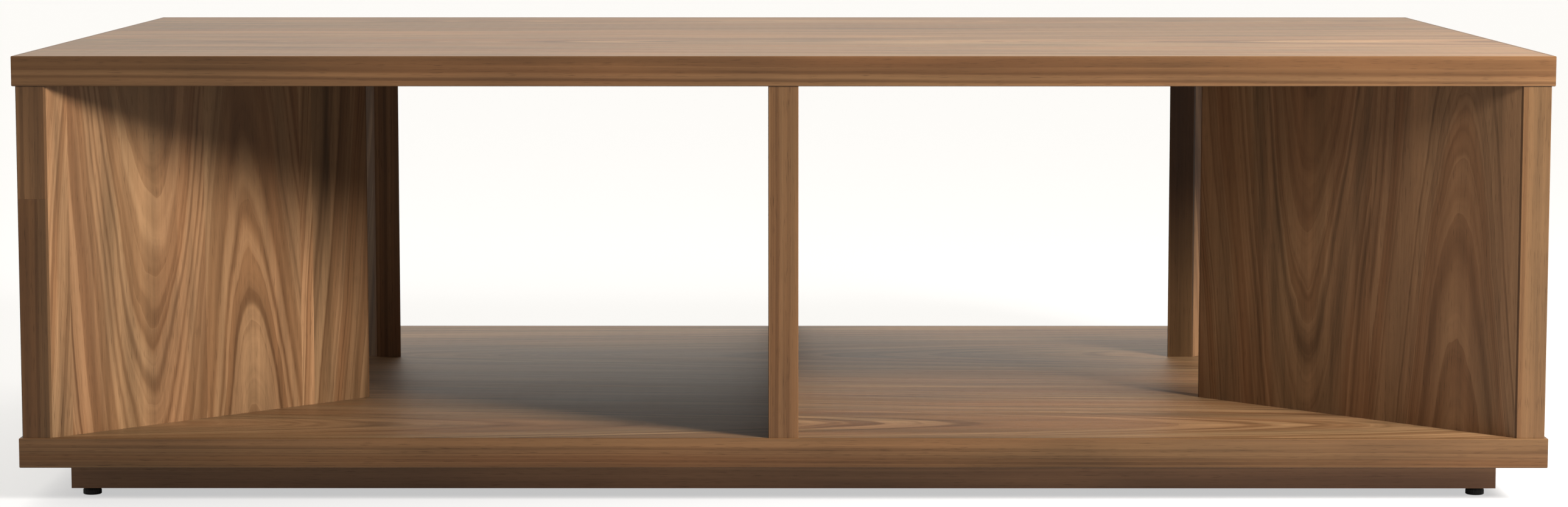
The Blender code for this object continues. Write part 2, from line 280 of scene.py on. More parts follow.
# %% [markdown]
# ## Shader sums written as Python
# A finish is a long sum: rings plus ripples, times pores, less a seam. One
# small class lets such a sum be written as it is read aloud. Every operator
# adds the Math node that does it, and one method makes all other nodes.

# %% Signals and finishes
class Signal:
    """One output in a finish; sums on it add the Math nodes that do them."""

    def __init__(self, finish, socket):
        self.finish, self.socket = finish, socket

    def math(self, operation, *values):
        return self.finish.node(
            "ShaderNodeMath", {"operation": operation},
            dict(enumerate((self, *values))))

    def __add__(self, other): return self.math("ADD", other)
    def __sub__(self, other): return self.math("SUBTRACT", other)
    def __mul__(self, other): return self.math("MULTIPLY", other)
    def __truediv__(self, other): return self.math("DIVIDE", other)
    def __pow__(self, other): return self.math("POWER", other)
    def __radd__(self, other): return self.math("ADD", other)
    def __rsub__(self, other): return (self * -1.0).math("ADD", other)

    def ramp(self, low, high):
        """0 below low, 1 above high, and a smooth rise between them."""
        return self.finish.node(
            "ShaderNodeMapRange", {"interpolation_type": "SMOOTHSTEP"},
            {"Value": self, "From Min": low, "From Max": high})


class Finish:
    """A material under construction, with one method for every kind of node."""

    def __init__(self, name, **constants):
        self.material = bpy.data.materials.new(name)
        self.material.use_nodes = True
        self.tree = self.material.node_tree
        self.surface = self.tree.nodes["Principled BSDF"]
        for socket, value in constants.items():
            self.surface.inputs[socket.replace("_", " ")].default_value = value

    def node(self, kind, settings=None, inputs=None, output=0):
        made = self.tree.nodes.new(kind)
        for key, value in (settings or {}).items():
            setattr(made, key, value)
        for key, value in (inputs or {}).items():
            self.plug(made.inputs[key], value)
        return Signal(self, made.outputs[output])

    def plug(self, socket, value):
        if isinstance(value, Signal):
            self.tree.links.new(value.socket, socket)
        else:
            socket.default_value = value

    def parts(self, vector):
        """The three numbers of a vector, each as a signal."""
        split = self.node("ShaderNodeSeparateXYZ", None, {0: vector})
        return [Signal(self, out) for out in split.socket.node.outputs]

    def noise(self, place, detail=2.0, rough=0.5):
        """Smooth random values about 0 at a place (x, y, z) already scaled."""
        point = self.node("ShaderNodeCombineXYZ", None, dict(enumerate(place)))
        return self.node("ShaderNodeTexNoise", None, {
            "Vector": point, "Scale": 1.0, "Detail": detail,
            "Roughness": rough}) - 0.5

    def streak(self, place, detail=2.0, rough=0.5):
        """Smooth random values about 0 along one line."""
        return self.node("ShaderNodeTexNoise", {"noise_dimensions": "1D"}, {
            "W": place, "Scale": 1.0, "Detail": detail,
            "Roughness": rough}) - 0.5

    def mix(self, factor, low, high, blend="MIX"):
        """Colour low where factor is 0 and colour high where it is 1."""
        low, high = (
            c if isinstance(c, Signal) else (*c, 1.0) for c in (low, high))
        return self.node(
            "ShaderNodeMix", {"data_type": "RGBA", "blend_type": blend},
            {0: factor, 6: low, 7: high}, output=2)

    def scaled(self, colour, amount):
        """A colour made brighter or darker by an amount."""
        return self.node("ShaderNodeVectorMath", {"operation": "SCALE"},
                         {0: colour, "Scale": amount})

    def finish(self, colour, roughness, height, relief):
        """Feeds the surface and returns the material."""
        bump = self.node("ShaderNodeBump", None, {
            "Height": height, "Strength": 0.5, "Distance": relief})
        for socket, value in (("Base Color", colour), ("Roughness", roughness),
                              ("Normal", bump)):
            self.plug(self.surface.inputs[socket], value)
        return self.material


print("sums that may start with a number:",
      [name for name in vars(Signal) if name.startswith("__r")])

# %% [markdown]
# ## Walnut
# A leaf sliced through the side of a log shows nested arches, because the
# knife cuts the growth rings at a slant. If the knife passes at a depth d
# from the heart, a point u to the side of the middle is sqrt(u*u + d*d) from
# the heart, and the log's taper moves every ring a little along the grain.
# Lines of equal distance are the arches. Far from the middle the same sum
# gives straight grain, so one formula serves both. Ripples bend the rings,
# tones change from ring to ring, dark late wood closes each ring, and short
# open pores lie along the grain.

# %% Walnut finish
RING_PITCH = 0.0062


def walnut(name, light, middle, dark, arches=1.0, sway_width=0.040,
           ripple_width=0.0045, taper=0.095, roughness=0.52):
    """Walnut under a satin lacquer.

    Ring distance = sqrt(u^2 + d^2) - taper * v + ripples, in metres.
    """
    finish = Finish(name, Coat_Weight=0.05, Coat_Roughness=0.40,
                    Specular_IOR_Level=0.33)
    u, v, _ = finish.parts(finish.node(
        "ShaderNodeUVMap", {"uv_map": "figure"}))
    seed, tone, depth = finish.parts(finish.node(
        "ShaderNodeAttribute", {"attribute_name": "leaf"}, output=1))
    worn = finish.node(
        "ShaderNodeAttribute", {"attribute_name": "worn"}, output=2)

    sway = finish.noise((u * 4.0, v * 2.2, seed), detail=1.5)
    ripple = finish.noise((u * 30.0, v * 9.0, seed), detail=3.0, rough=0.55)
    off_centre = u + sway * sway_width
    ring = ((off_centre * off_centre + depth * depth) ** 0.5
            - v * taper + ripple * ripple_width)
    spread = finish.streak(ring * 24.0 + seed, detail=1.0)
    growth = ring / RING_PITCH + spread * 6.0 + seed * 3.1

    broad = finish.streak(growth * 0.15, detail=1.0)
    band = finish.streak(growth * 0.42 + 21.0, detail=1.0)
    uneven = finish.streak(growth * 0.83 + 9.0, detail=2.0, rough=0.6)
    phase = growth.math("FRACT")
    fading = finish.noise((u * 22.0, v * 6.0, seed + 8.0), detail=1.0)
    late = (phase ** 4.0) * (1.0 - phase.ramp(0.90, 1.0))
    late = late * (uneven + fading + 0.12).ramp(0.0, 0.45) * arches

    cloud = finish.noise((u * 13.0, v * 5.0, seed + 5.0), detail=2.0)
    long_streak = finish.noise((u * 75.0, v * 1.6, seed + 2.0), detail=2.5)
    hair = finish.noise((ring * 1500.0, v * 5.0, seed), detail=2.0, rough=0.6)
    fibre = finish.noise((u * 620.0, v * 7.0, seed), detail=3.0, rough=0.6)
    pore = finish.noise((u * 1700.0, v * 60.0, seed), detail=1.0)
    pore = pore.ramp(0.10, 0.24) * (0.45 + phase * 0.55)

    depth_of_tone = (broad * 1.8 + band * 1.9 + uneven * 1.5 + cloud * 0.7
                     + phase * 0.30 + 0.32)
    colour = finish.mix(depth_of_tone.ramp(0.0, 1.0), light, middle)
    colour = finish.mix((uneven * 1.5 + 0.10).ramp(0.0, 0.6) * 0.40, colour, dark)
    colour = finish.mix(late * 0.42, colour, dark)
    streaks = (hair * 0.30 + fibre * 0.42 + cloud * 1.0 + long_streak * 1.1
               + broad * 0.7 + band * 0.5)
    # tone is a leaf's own lightness, except on the two rear inner wing strips, where
    # it carries painted light and shade.
    colour = finish.scaled(colour, (1.0 + streaks) * (1.0 + tone))
    hue = finish.noise((u * 24.0, v * 2.0, seed + 3.0), detail=1.0)
    tint = finish.mix((hue * 2.2 + 0.5).ramp(0.0, 1.0),
                      (1.03, 0.985, 0.97), (0.97, 1.015, 1.02))
    colour = finish.mix(1.0, colour, tint, "MULTIPLY")
    colour = finish.mix(pore * 0.45, colour, tuple(0.45 * c for c in dark))
    rubbed = worn * (0.35 + cloud).ramp(0.1, 0.6)
    colour = finish.mix(rubbed * 0.35, colour, light)
    gloss = roughness + cloud * 0.10 + pore * 0.12 + fibre * 0.08
    height = fibre * 0.35 - pore * 0.8 - late * 0.25
    return finish.finish(colour, gloss, height, 0.00012)


veneer = walnut("walnut_face", (0.212, 0.116, 0.056), (0.128, 0.063, 0.028),
                (0.045, 0.019, 0.008))
slab_veneer = walnut("walnut_slab", (0.206, 0.117, 0.056), (0.122, 0.062, 0.028),
                     (0.049, 0.021, 0.0085), sway_width=0.03, roughness=0.47)
edging = walnut("walnut_edge", (0.122, 0.062, 0.027), (0.076, 0.035, 0.0140),
                (0.029, 0.0125, 0.0050), arches=0.5, sway_width=0.005,
                ripple_width=0.0012, taper=0.004)
print("walnut finishes:", veneer.name, slab_veneer.name, edging.name)

# %% [markdown]
# ## Slabs and their lippings
# Top and base are veneered boards, and a strip of solid walnut, the lipping,
# covers each raw edge. The strips meet in mitres at the corners, so a point
# that lies t behind the outer face stops t short of the corner. The panel and
# its strips stop 0.06 mm apart, which shows as a glue line.

# %% Slabs
GLUE = 0.00006  # the width of a glue line
LIPPING_ROUND = 0.0010
SLAB_SEAM = 0.0001


def slab_leaves(width, tones, centres):
    """Leaves of equal width across a slab, with book-matched neighbours."""
    step = width / len(tones)
    return [
        Leaf(i * step, i * step + centre * step, 0.05 + 0.02 * (i % 3),
             0.9 * i - 0.6, 1 if i % 2 else -1, tone)
        for i, (tone, centre) in enumerate(zip(tones, centres))
    ]


slab_plan = {
    "top": ((0.02, -0.05, 0.05, 0.0, -0.04), (0.6, 2.5, -1.5, 0.4, 2.2)),
    "bottom": ((0.03, -0.04, 0.06, -0.02, 0.02), (-1.2, 0.5, 2.1, -0.9, 0.5)),
}
for level, (tones, centres) in slab_plan.items():
    strips = {way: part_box(f"{level}_lipping_{way}")
              for way in (*ENDS, *SIDES)}
    low = np.array(strips["left"][0])
    high = np.array(strips["right"][1])
    low[1], high[1] = strips["front"][0][1], strips["rear"][1][1]
    thick = strips["front"][1][1] - strips["front"][0][1]

    inset = thick + GLUE
    y0, y1 = low[1] + inset, high[1] - inset
    leaves = slab_leaves(y1 - y0, tones, centres)
    seams = [leaf.start for leaf in leaves[1:]]
    mirrored = [leaf._replace(tone=-leaf.tone) for leaf in leaves]
    panel_cut = section([(y0, low[2]), (y1, low[2]), (y1, high[2]), (y0, high[2])],
                        SLAB_SEAM, {0: seams, 2: seams})
    panel = board(f"{level}_board", panel_cut, "x",
                  low[0] + inset, high[0] - inset, {0: mirrored, 2: leaves})
    fit(panel, "case", "walnut_veneer", slab_veneer, f"{level}_panel")

    for way, sign in (*ENDS.items(), *SIDES.items()):
        runs_x = way in ENDS
        outer = (high if sign > 0 else low)[1 if runs_x else 0]
        inner = outer - sign * thick
        a0, a1 = min(outer, inner), max(outer, inner)
        rounds = [LIPPING_ROUND if (x == outer) else SLAB_SEAM for x in (a0, a1)]
        if runs_x:
            shape = [(a0, low[2]), (a1, low[2]), (a1, high[2]), (a0, high[2])]
            radii = [rounds[0], rounds[1], rounds[1], rounds[0]]
        else:
            shape = [(low[2], a0), (high[2], a0), (high[2], a1), (low[2], a1)]
            radii = [rounds[0], rounds[0], rounds[1], rounds[1]]
        cut = section(shape, radii)
        depth = np.abs(cut.points[:, 0 if runs_x else 1] - outer) + GLUE / 2
        reach = 0 if runs_x else 1
        strip = board(f"{level}_edge_{way}", cut, "x" if runs_x else "y",
                      low[reach] + depth, high[reach] - depth)
        fit(strip, "case", "walnut_lipping", edging, f"{level}_lipping_{way}")
print("slab thickness", round(float(high[2] - low[2]), 4))

# %% [markdown]
# ## The plan of a wing
# The wings stand at 45 degrees to the front and their ends are cut square to
# it, so in plan each wing is a slanted strip. A strip of solid walnut closes
# each cut end. Board and strips share the same slanted sides: a point at the
# depth y on a slanted side lies y further in. The slabs grip the boards, so
# the boards run up to them without a gap.

# %% Plan of a wing
EDGE_STRIP = 0.0018
ARRIS = 0.0008
SHARP = 0.00008
CLOSE = 0.00035  # how far a board runs into the slab above and below it
STRIP_JOINT = 0.2747  # the level where one rim strip is pieced from two lengths


def slanted(sx, sy, rim, cut_width, near, far):
    """Plan of a slanted strip between two distances in from the rim.

    rim is the outer corner; going in by y moves the strip y towards the
    middle. Corners are listed anticlockwise.
    """
    inner_near = (sx * (rim[0] - cut_width - near), sy * (rim[1] - near))
    outer_near = (sx * (rim[0] - near), sy * (rim[1] - near))
    outer_far = (sx * (rim[0] - far), sy * (rim[1] - far))
    inner_far = (sx * (rim[0] - cut_width - far), sy * (rim[1] - far))
    if sx * sy < 0:
        return [inner_near, outer_near, outer_far, inner_far]
    return [outer_near, inner_near, inner_far, outer_far]


print("edge strips are", EDGE_STRIP * 1000, "mm thick")

# %% [markdown]
# ## Leaves and tones
# The leaves below are listed from a side's first corner to its last. Each
# line gives where the leaf starts, where the heart of its figure lies, how
# deep the knife ran, the height its arches start from, which way they point
# and how light the leaf is.

# %% Leaves of the wings
def mirrored_leaves(leaves, length):
    """The same leaves read from the other end of the side."""
    starts = [leaf.start for leaf in leaves] + [length]
    flipped = [
        leaf._replace(start=length - starts[i + 1], centre=length - leaf.centre)
        for i, leaf in enumerate(leaves)
    ]
    return flipped[::-1]


lit_figure = [
    Leaf(-1.0, -0.20, 0.12, 0.0, 1, 0.14),
    Leaf(0.022, 0.108, 0.045, 0.10, 1, 0.0),
    Leaf(0.171, 0.222, 0.040, 0.14, -1, -0.05),
    Leaf(0.281, -0.10, 0.10, 0.0, 1, 0.22),
    Leaf(0.296, -0.25, 0.12, 0.0, 1, -0.06),
]
shaded_figure = [
    Leaf(-1.0, 0.064, 0.040, 0.12, -1, -0.10),
    Leaf(0.161, 0.229, 0.045, 0.02, 1, 0.04),
]
plain_figure = [
    Leaf(-1.0, 0.07, 0.055, 0.05, 1, 0.0),
    Leaf(0.13, 0.32, 0.060, 0.11, -1, 0.05),
    Leaf(0.27, 0.30, 0.050, 0.02, 1, -0.06),
]
wing_figures = {  # the face towards the bay, then the face towards the side
    "front_left": (lit_figure, plain_figure),
    "front_right": (shaded_figure, plain_figure),
    "rear_left": (plain_figure, shaded_figure),
    "rear_right": (plain_figure, lit_figure),
}
print("leaves on the wings:",
      sum(len(bay) + len(side) for bay, side in wing_figures.values()))

# %% Tones of the strips, and painted light and shade on the two rear inner strips
strip_tones_and_painted_light = {  # solid strips that are lighter or darker than the rest
    ("front_left", "rim"): (-0.12, 0.04),
    ("front_right", "rim"): (-0.06, 0.0),
    # The rear inner strips hold no tone of the wood. The left one is painted lighter,
    # as painted light in the bay's shade. The right one is painted darker, as painted
    # shade over the light that reaches it.
    ("rear_left", "inner"): (0.90, 0.0),
    ("rear_right", "inner"): (-0.50, 0.0),
}
print("strips with a tone of their own:", len(strip_tones_and_painted_light))

# %% [markdown]
# ## Making the wings
# Going round a wing's outline, the face towards the bay comes first on two of
# the wings and last on the other two. The outline runs back along its last
# side, so the leaves there are read from the other end.

# %% Wings
for corner, sx, sy in CORNERS:
    low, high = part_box(f"wing_{corner}")
    rim = (max(abs(low[0]), abs(high[0])), max(abs(low[1]), abs(high[1])))
    run = high[1] - low[1]
    cut_width = (high[0] - low[0]) - run
    z0, z1 = low[2] - CLOSE, high[2] + CLOSE
    plan = slanted(sx, sy, rim, cut_width,
                   EDGE_STRIP + GLUE, run - EDGE_STRIP - GLUE)
    length = math.dist(plan[1], plan[2])
    towards_bay, towards_side = wing_figures[corner]
    if sx * sy < 0:
        faces = {1: towards_side, 3: mirrored_leaves(towards_bay, length)}
    else:
        faces = {1: towards_bay, 3: mirrored_leaves(towards_side, length)}
    seams = {side: [leaf.start for leaf in leaves[1:]]
             for side, leaves in faces.items()}
    wing = board(f"wing_board_{corner}", section(plan, SHARP, seams), "z",
                 z0, z1, faces)
    fit(wing, "case", "walnut_veneer", veneer, f"wing_{corner}")
    for part, near, far, rounded in (
            ("rim", 0.0, EDGE_STRIP, 0), ("inner", run - EDGE_STRIP, run, 1)):
        shape = slanted(sx, sy, rim, cut_width, near, far)
        outer, glued = ((ARRIS, SHARP), (SHARP, ARRIS))[rounded]
        radii = [outer, outer, glued, glued]
        joints = [z0, z1]
        if corner == "front_left" and part == "rim":
            joints = [z0, STRIP_JOINT, z1]
        for i, (start, stop) in enumerate(zip(joints[:-1], joints[1:])):
            tail = f"_{i + 1}" if len(joints) > 2 else ""
            # On the two rear inner strips this tone is painted light and shade.
            tone = strip_tones_and_painted_light.get((corner, part), (0.0, 0.0))[i]
            strip = board(f"wing_edge_{corner}_{part}{tail}",
                          section(shape, radii), "z",
                          start + GLUE / 2, stop - GLUE / 2,
                          {s: [PLAIN[0]._replace(tone=tone)] for s in range(4)})
            fit(strip, "case", "walnut_lipping", edging)
print("wing face", round(length, 4), "m long, cut end", round(cut_width, 4))

# %% [markdown]
# ## Divider
# The divider is a plain board across the middle, veneered on both faces and
# closed at its two ends by the same thin strips as the wings.

# %% Divider
low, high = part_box("center_divider")
z0, z1 = low[2] - CLOSE, high[2] + CLOSE


def upright_plan(y0, y1):
    """A rectangle in plan as wide as the divider, between two depths."""
    return [(low[0], y0), (high[0], y0), (high[0], y1), (low[0], y1)]


divider_leaves = [
    Leaf(-1.0, 0.10, 0.06, 0.03, 1, 0.0),
    Leaf(0.19, 0.47, 0.05, 0.12, -1, 0.04),
    Leaf(0.41, 0.50, 0.05, 0.06, 1, -0.03),
    Leaf(0.62, 0.30, 0.05, 0.02, 1, 0.03),
]
seams = [leaf.start for leaf in divider_leaves[1:]]
divider = board(
    "divider_board",
    section(upright_plan(low[1] + EDGE_STRIP + GLUE, high[1] - EDGE_STRIP - GLUE),
            SHARP, {1: seams, 3: seams}),
    "z", z0, z1, {1: divider_leaves, 3: divider_leaves})
fit(divider, "case", "walnut_veneer", veneer, "center_divider")
for end, y0, y1, radii in (
        ("front", low[1], low[1] + EDGE_STRIP, (ARRIS, ARRIS, SHARP, SHARP)),
        ("rear", high[1] - EDGE_STRIP, high[1], (SHARP, SHARP, ARRIS, ARRIS))):
    strip = board(f"divider_edge_{end}", section(upright_plan(y0, y1), radii),
                  "z", z0, z1)
    fit(strip, "case", "walnut_lipping", edging)
print("divider", round(float(high[0] - low[0]), 4), "m thick")

# %% [markdown]
# ## Plinth
# The plinth is a low frame of stained rails, set well back so that the unit seems to
# float. Its finish is the same satin lacquer over an even brown stain, under which the
# grain shows only softly. The stain is painted lighter than the veneer above it, as
# painted light in the shade under the slab.

# %% Stained finish with painted light, and plinth rails
RAIL_ROUND = 0.0006
# These colours are lighter than the veneer's. That is painted light, which lifts the
# shade the rails stand in under the slab.
plinth_stain_painted_light = walnut("plinth_stain_and_painted_light", (0.280, 0.143, 0.072), (0.210, 0.104, 0.051),
                 (0.112, 0.052, 0.026), arches=0.4, sway_width=0.01,
                 ripple_width=0.002, taper=0.004, roughness=0.46)
for way in (*ENDS, *SIDES):
    low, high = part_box(f"plinth_rail_{way}")
    top = high[2] + CLOSE
    if way in ENDS:
        shape = [(low[1], low[2]), (high[1], low[2]), (high[1], top), (low[1], top)]
        rail = board(f"plinth_board_{way}", section(shape, RAIL_ROUND), "x",
                     low[0], high[0])
    else:
        shape = [(low[2], low[0]), (top, low[0]), (top, high[0]), (low[2], high[0])]
        rail = board(f"plinth_board_{way}", section(shape, RAIL_ROUND), "y",
                     low[1] - CLOSE, high[1] + CLOSE)
    fit(rail, "case", "stained_plinth", plinth_stain_painted_light, f"plinth_rail_{way}")
print("plinth rails stand", round(float(low[2]), 4), "m off the floor")

# %% [markdown]
# ## Finishes of the small parts
# Most of the hardware is out of sight, but a part that is turned over should
# still be right: beech pegs and blocks, zinc-plated steel and moulded plastic.
# These read object coordinates, because their pattern has nothing to follow.

# %% Pale wood, zinc and plastic
def pale_wood(name, light, dark, stretch):
    """Bare beech or pine: fine streaks along the axis stretched least."""
    finish = Finish(name)
    place = finish.parts(finish.node("ShaderNodeTexCoord", output=3))
    scaled = [p * s for p, s in zip(place, stretch)]
    grain = finish.noise(scaled, detail=3.0, rough=0.6)
    fleck = finish.noise([p * 5.0 for p in scaled], detail=1.0).ramp(0.12, 0.26)
    colour = finish.mix((grain * 1.6 + 0.5).ramp(0.0, 1.0), light, dark)
    colour = finish.mix(fleck * 0.35, colour, tuple(0.6 * c for c in dark))
    return finish.finish(colour, 0.62 + grain * 0.15, grain - fleck * 0.5,
                         0.00015)


def zinc(name):
    """Zinc plating: a pale metal with cloudy patches and fine turning lines."""
    finish = Finish(name, Metallic=1.0)
    x, y, z = finish.parts(finish.node("ShaderNodeTexCoord", output=3))
    cloud = finish.noise((x * 160.0, y * 160.0, z * 160.0), detail=3.0)
    lines = finish.noise((x * 200.0, y * 200.0, z * 5200.0), detail=1.0)
    colour = finish.mix((cloud * 1.5 + 0.5).ramp(0.0, 1.0),
                        (0.62, 0.62, 0.60), (0.40, 0.41, 0.43))
    return finish.finish(colour, 0.30 + cloud * 0.25 + lines * 0.1,
                         lines * 0.5 + cloud, 0.00004)


def moulded_plastic(name):
    """Black moulded plastic with a fine spark-eroded texture."""
    finish = Finish(name)
    x, y, z = finish.parts(finish.node("ShaderNodeTexCoord", output=3))
    grit = finish.noise((x * 2600.0, y * 2600.0, z * 2600.0), detail=2.0)
    scuff = finish.noise((x * 180.0, y * 180.0, z * 700.0), detail=3.0)
    colour = finish.mix((scuff * 2.0 + 0.4).ramp(0.2, 1.0),
                        (0.010, 0.010, 0.011), (0.030, 0.029, 0.028))
    return finish.finish(colour, 0.50 + scuff * 0.3, grit + scuff * 0.4,
                         0.00005)


block_wood = pale_wood("block_wood", (0.60, 0.42, 0.25), (0.46, 0.29, 0.15),
                       (340.0, 340.0, 18.0))
rail_wood = pale_wood("rail_wood", (0.58, 0.40, 0.23), (0.44, 0.27, 0.14),
                      (340.0, 14.0, 340.0))
peg_wood = pale_wood("peg_wood", (0.62, 0.45, 0.28), (0.50, 0.33, 0.18),
                     (900.0, 900.0, 40.0))
plated = zinc("zinc_plate")
plastic = moulded_plastic("black_moulding")
for node, finish in [("plinth_cross_rail", rail_wood)] + [
        (f"glue_block_{corner}", block_wood) for corner, _, _ in CORNERS]:
    slots = frame["nodes"][node].data.materials
    slots.clear()
    slots.append(finish)
print("small finishes ready")

# %% [markdown]
# ## Turned and threaded hardware
# Screws, studs, pegs and pads are all round, so one function serves them: the
# radius follows from the height and the angle. A thread is a ridge whose height
# depends on how far a point lies along the helix, a socket is a hexagonal
# radius, and the ribs of a pad are a cosine of the angle.

# %% Round pieces
TWO_PI = 2 * math.pi
SMOOTH_BELOW = math.radians(35)


def turned(name, heights, radius, centre, around, ring=False):
    """A closed round piece.

    Row i, column j stands at heights[i] with the radius radius[i, j] at the
    angle 2 pi j / around. A ring joins its last row to its first, and any
    other piece has a flat cap on both.
    """
    heights = np.asarray(heights, float)
    angle = np.arange(around) * TWO_PI / around
    radius = np.broadcast_to(radius, (len(heights), around))
    x = centre[0] + radius * np.cos(angle)
    y = centre[1] + radius * np.sin(angle)
    z = np.broadcast_to(centre[2] + heights[:, None], x.shape)
    places = np.stack([x, y, z], axis=2).reshape(-1, 3)
    steps = len(heights) if ring else len(heights) - 1
    row, col = np.meshgrid(np.arange(steps), np.arange(around), indexing="ij")
    after, above = (col + 1) % around, (row + 1) % len(heights)
    walls = np.stack([row * around + col, row * around + after,
                      above * around + after, above * around + col],
                     axis=2).reshape(-1, 4)
    last = (len(heights) - 1) * around
    caps = [] if ring else [list(range(around))[::-1],
                            list(range(last, last + around))]
    mesh = bpy.data.meshes.new(name)
    mesh.from_pydata(places.tolist(), [], walls.tolist() + caps)
    mesh.polygons.foreach_set("use_smooth", [True] * len(mesh.polygons))
    mesh.set_sharp_from_angle(angle=SMOOTH_BELOW)
    piece = bpy.data.objects.new(name, mesh)
    bpy.context.scene.collection.objects.link(piece)
    return piece


def profile(points):
    """Heights and radii of a turned profile as two arrays."""
    heights, radii = np.array(points, float).T
    return heights, radii[:, None]


def thread(bottom, top, pitch, root, crest, around, rows_per_turn=8):
    """Heights and radii of a screw thread.

    The ridge is a triangle wave of height / pitch - angle / 2 pi, and it runs
    out to nothing over half a turn at both ends.
    """
    rows = int(round((top - bottom) / pitch * rows_per_turn)) + 1
    heights = np.linspace(bottom, top, rows)
    turn = np.arange(around) / around
    phase = (heights[:, None] / pitch - turn) % 1.0
    ridge = 1.0 - np.abs(2.0 * phase - 1.0)
    fade = np.clip(np.minimum(heights - bottom, top - heights) / (pitch / 2), 0, 1)
    return heights, root + (crest - root) * ridge * fade[:, None]


def stacked(around, *stages):
    """Joins stages of heights and radii into one piece's arrays."""
    heights = np.concatenate([h for h, _ in stages])
    radii = np.concatenate(
        [np.broadcast_to(r, (len(h), around)) for h, r in stages])
    return heights, radii


def middle_of(node):
    """The axis of an upright round node, and its lowest and highest level."""
    low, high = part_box(node)
    axis = ((low[0] + high[0]) / 2, (low[1] + high[1]) / 2, 0.0)
    return axis, low[2], high[2]


print("a 1 mm thread 4 mm long has",
      len(thread(0, 0.004, 0.001, 1, 1, 8)[0]), "rows")

# %% [markdown]
# ## Pegs and screws
# Wing and divider are joined to the top by fluted pegs, whose grooves let the
# glue out, and to the base by long screws with a hexagonal socket. Shorter
# screws hold the plinth. The flat of a hexagon lies a from its middle, so its
# radius at the angle t from a flat's middle is a / cos(t).

# %% Pegs and screws
PEG_AROUND = 64
PEG_RADIUS = 0.0040
FLUTES = 16
FLUTE_DEPTH = 0.00025
SCREW_AROUND = 24
SOCKET_DEPTH = 0.75  # as a share of the head's depth
NECK = 0.80  # this and the next two are shares of the thread's radius
THREAD_ROOT = 0.72
POINT = 0.66
Screw = namedtuple("Screw", "head_radius head_depth radius pitch flat")
LONG_SCREW = Screw(0.0050, 0.0030, 0.0033, 0.0030, 0.0020)
SHORT_SCREW = Screw(0.0045, 0.0026, 0.00225, 0.0020, 0.0015)
JOINTS = [f"{corner}_{end}" for corner, _, _ in CORNERS
          for end in ("outer", "inner")] + ["divider_front", "divider_rear"]


def hexagon(flat, around):
    """The radius of a hexagonal hole all the way round."""
    from_flat = np.arange(around) * TWO_PI / around % (TWO_PI / 6) - TWO_PI / 12
    return flat / np.cos(from_flat)


def screw(name, node, size):
    """A countersunk screw, head down: socket, head, neck, thread and point."""
    axis, z0, z1 = middle_of(node)
    neck = z0 + size.head_depth
    socket = z0 + size.head_depth * SOCKET_DEPTH
    heights, radii = stacked(
        SCREW_AROUND,
        (np.array([socket, z0 + 0.0001]), hexagon(size.flat, SCREW_AROUND)),
        profile([(z0, size.flat * 1.25), (z0, size.head_radius - 0.0002),
                 (z0 + 0.0002, size.head_radius), (z0 + 0.0006, size.head_radius),
                 (neck, size.radius * NECK), (neck + 0.004, size.radius * NECK)]),
        thread(neck + 0.0045, z1 - size.radius * 2.4, size.pitch,
               size.radius * THREAD_ROOT, size.radius, SCREW_AROUND),
        profile([(z1 - size.radius * 2, size.radius * POINT), (z1, 0.0002)]))
    piece = turned(name, heights, radii, axis, SCREW_AROUND)
    fit(piece, "case", "zinc_plated_steel", plated, node)


for joint in JOINTS:
    axis, z0, z1 = middle_of(f"dowel_{joint}")
    heights, radii = profile([
        (z0, PEG_RADIUS - 0.0010), (z0 + 0.0008, PEG_RADIUS - 0.0001),
        (z0 + 0.0012, PEG_RADIUS), (z1 - 0.0012, PEG_RADIUS),
        (z1 - 0.0008, PEG_RADIUS - 0.0001), (z1, PEG_RADIUS - 0.0010)])
    angle = np.arange(PEG_AROUND) * TWO_PI / PEG_AROUND
    flutes = FLUTE_DEPTH * np.clip(np.cos(FLUTES * angle), 0, 1)
    peg = turned(f"peg_{joint}", heights, radii - flutes, axis, PEG_AROUND)
    fit(peg, "case", "pale_wood", peg_wood, f"dowel_{joint}")
    screw(f"long_screw_{joint}", f"case_screw_{joint}", LONG_SCREW)
for corner, _, _ in CORNERS:
    screw(f"short_screw_{corner}", f"plinth_screw_{corner}", SHORT_SCREW)
print("pegs and long screws:", len(JOINTS), "each")

# %% [markdown]
# ## Levelling feet
# A levelling foot is three pieces. The moulded pad has ribs to grip, the stud
# in it has a standard 6 mm thread, and the stud turns in a sleeve that is
# screwed into the rail. The sleeve is open at both ends, so it is a ring.

# %% Pad of a levelling foot
PAD_AROUND = 96
RIBS = 24
RIB_DEPTH = 0.00045


def make_pad(corner):
    """A turned pad whose lower side is ribbed by a cosine of the angle."""
    low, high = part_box(f"foot_pad_{corner}")
    middle, _, tall = middle_of(f"foot_pad_{corner}")
    reach = (high[0] - low[0]) / 2
    angle = np.arange(PAD_AROUND) * TWO_PI / PAD_AROUND
    heights, radii = profile([
        (0.0, reach * 0.80), (0.0, reach - 0.0009), (0.0003, reach - 0.0003),
        (0.0009, reach - 0.00005), (0.0014, reach - 0.0001),
        (0.0040, reach - 0.0001), (0.0045, reach - 0.0003),
        (tall - 0.0011, reach - 0.0012), (tall - 0.0004, reach - 0.0018),
        (tall, reach - 0.0026), (tall, 0.0032)])
    ribbed = ((heights > 0.0012) & (heights < 0.0048))[:, None]
    ribs = RIB_DEPTH * (0.5 + 0.5 * np.cos(RIBS * angle)) * ribbed
    pad = turned(f"levelling_pad_{corner}", heights, radii - ribs, middle,
                 PAD_AROUND)
    fit(pad, f"foot_{corner}", "black_plastic", plastic, f"foot_pad_{corner}")
    return reach


print("a pad has", RIBS, "ribs")

